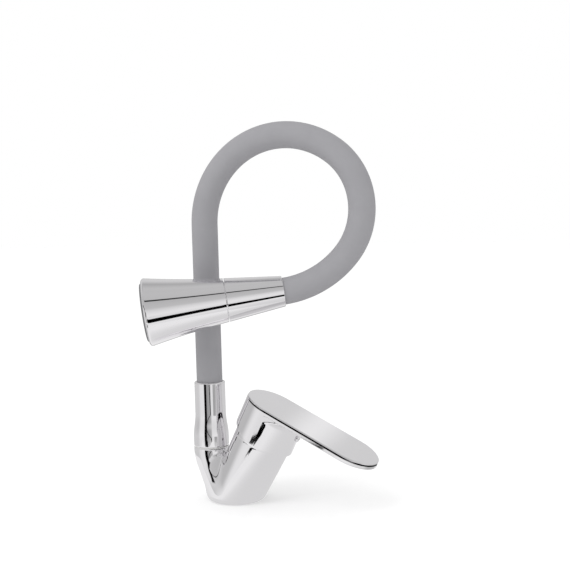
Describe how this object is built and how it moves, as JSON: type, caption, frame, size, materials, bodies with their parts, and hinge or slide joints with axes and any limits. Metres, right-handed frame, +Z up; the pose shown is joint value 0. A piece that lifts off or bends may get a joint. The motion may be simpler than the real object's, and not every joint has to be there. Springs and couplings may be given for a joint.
{
  "type": "kitchen mixer tap",
  "caption": "Single lever kitchen mixer tap with a bendable sleeved hose spout that loops over to a conical two-part spray head, on a forked chrome body.",
  "frame": {"origin": "centre of the fixing stud's hole in the underside of the body, on the deck", "axes": "+Z up along the swivel axis of the spout, +X towards the tip of the lever"},
  "size_m": [0.1733, 0.1025, 0.2952],
  "materials": {
    "chrome": "polished",
    "brass": "turned",
    "stainless_steel": "brushed",
    "grey_silicone": "matte",
    "black_rubber": "matte",
    "white_plastic": "matte",
    "grey_plastic": "satin",
    "ceramic": "lapped ceramic"
  },
  "bodies": {
    "base": {"mixer_body": "chrome", "deck_seal": "black_rubber", "cartridge_base": "white_plastic", "port_seals": "black_rubber", "fixed_ceramic_disc": "ceramic", "cartridge_housing": "grey_plastic", "retaining_nut": "brass", "cover_ring": "chrome", "swivel_washer": "white_plastic", "spout_spigot": "brass", "glide_rings": "white_plastic", "spout_o_rings": "black_rubber"},
    "turret": {"cartridge_turret": "grey_plastic", "stem_pin": "stainless_steel"},
    "disc_slider": {"disc_carrier": "white_plastic", "moving_ceramic_disc": "ceramic"},
    "lever": {"lever_stem": "stainless_steel", "lever_handle": "chrome", "grub_screw": "stainless_steel", "cover_plug": "chrome"},
    "spout": {"spout_socket": "chrome", "snap_ring": "stainless_steel", "lower_ferrule": "brass", "core_tube_lower": "stainless_steel", "core_tube_bend": "stainless_steel", "sleeve_lower": "grey_silicone", "sleeve_bend": "grey_silicone"},
    "arm": {"core_tube_upper": "stainless_steel", "sleeve_upper": "grey_silicone", "upper_ferrule": "brass"},
    "head": {"head_rear_shell": "chrome", "head_coupling": "brass", "filter_washer": "black_rubber", "check_valve": "white_plastic", "flow_core": "white_plastic"},
    "nozzle": {"head_front_shell": "chrome", "selector_disc": "grey_plastic", "nozzle_face": "grey_plastic", "nozzle_mat": "grey_silicone", "aerator_cup": "grey_plastic", "aerator_screen": "stainless_steel"}
  },
  "joints": [
    {"name": "lever_swing", "type": "hinge", "parent": "base", "child": "turret", "pos_m": [0.02561, 0, 0.05204], "axis": [0.4415, 0, 0.8973], "range_deg": [-45, 45]},
    {"name": "lever_tilt", "type": "hinge", "parent": "turret", "child": "lever", "pos_m": [0.02561, 0, 0.05204], "axis": [0, -1, 0], "range_deg": [0, 18]},
    {"name": "disc_slide", "type": "slide", "parent": "turret", "child": "disc_slider", "axis": [0.8973, 0, -0.4415], "range_m": [0, 0.00517]},
    {"name": "spout_swivel", "type": "hinge", "parent": "base", "child": "spout", "pos_m": [-0.0199, 0, 0.0413], "axis": [0, 0, 1], "continuous": true},
    {"name": "arm_bend", "type": "hinge", "parent": "spout", "child": "arm", "pos_m": [0.01352, 0.00234, 0.27602], "axis": [0.0698, -0.9976, 0], "range_deg": [-8, 30], "deforming": ["sleeve_bend", "core_tube_bend"]},
    {"name": "head_swivel", "type": "hinge", "parent": "arm", "child": "head", "pos_m": [0.05035, -0.00785, 0.1663], "axis": [-0.8764, -0.466, -0.1219], "continuous": true},
    {"name": "spray_select", "type": "hinge", "parent": "head", "child": "nozzle", "pos_m": [0.05035, -0.00785, 0.1663], "axis": [-0.8764, -0.466, -0.1219], "range_deg": [0, 60]}
  ],
  "couplings": [
    {"joint": "disc_slide", "follows": "lever_tilt", "m_per_rad": 0.016432}
  ]
}
